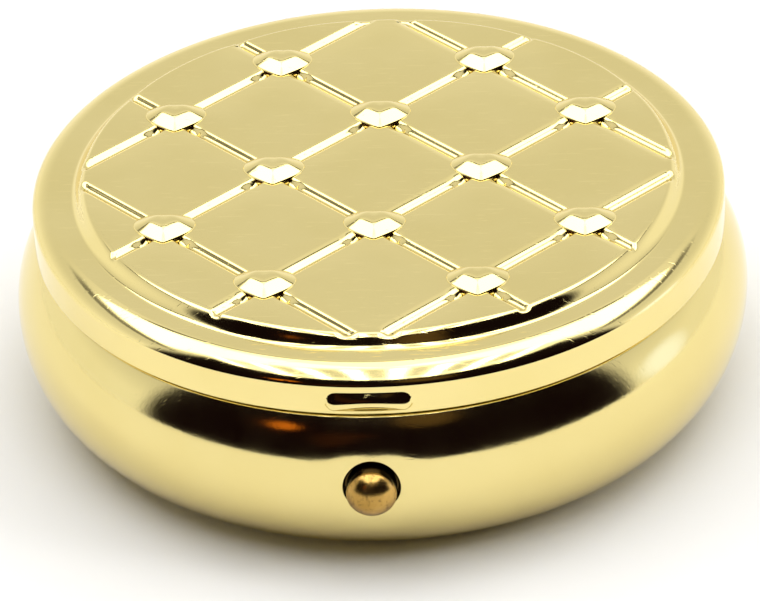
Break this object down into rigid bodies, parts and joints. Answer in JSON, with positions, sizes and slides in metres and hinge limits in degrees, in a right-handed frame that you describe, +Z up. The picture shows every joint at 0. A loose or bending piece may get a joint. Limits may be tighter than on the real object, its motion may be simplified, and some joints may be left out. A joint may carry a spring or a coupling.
{
  "type": "pill box",
  "caption": "Round gilt metal pill box with a push-button catch, hinged quilted lid with heart studs, and a divided tray inside.",
  "frame": {"origin": "centre of the flat underside that the box rests on", "axes": "+Z up through the lid, -Y towards the front with the button, +Y towards the hinge, +X to the right seen from the front"},
  "size_m": [0.05, 0.0517, 0.0169],
  "materials": {
    "gold_plate": "bright gold plating, polished, with a light haze",
    "gold_plate_inner": "gold plated, satin",
    "button_brass": "polished, deeper bronze-gold",
    "steel": "bright spring steel",
    "tray_plastic": "moulded, smooth, off-white",
    "mirror": "silvered glass",
    "pad_foam": "thin foam pad"
  },
  "bodies": {
    "base": {"base_shell": "gold_plate", "collar_ring": "gold_plate_inner", "pill_tray": "tray_plastic", "base_hinge_plate": "gold_plate_inner", "base_hinge_rivets": "gold_plate_inner", "hinge_pin": "steel", "hinge_spring": "steel"},
    "lid": {"lid_shell": "gold_plate", "lid_hinge_plate": "gold_plate_inner", "lid_hinge_rivets": "gold_plate_inner", "mirror_pad": "pad_foam", "mirror_glass": "mirror", "mirror_ring": "gold_plate_inner"},
    "latch": {"push_button": "button_brass", "latch_hook": "steel", "latch_washer": "steel", "latch_bow_spring": "steel"}
  },
  "joints": [
    {"name": "lid_hinge", "type": "hinge", "parent": "base", "child": "lid", "pos_m": [0, 0.0242, 0.01225], "axis": [-1, 0, 0], "range_deg": [0, 100], "deforming": ["hinge_spring"]},
    {"name": "button_press", "type": "slide", "parent": "base", "child": "latch", "axis": [0, 1, 0], "range_m": [0, 0.001], "stiffness_N_per_m": 1500, "springref_m": -0.0005, "deforming": ["latch_bow_spring"]}
  ]
}
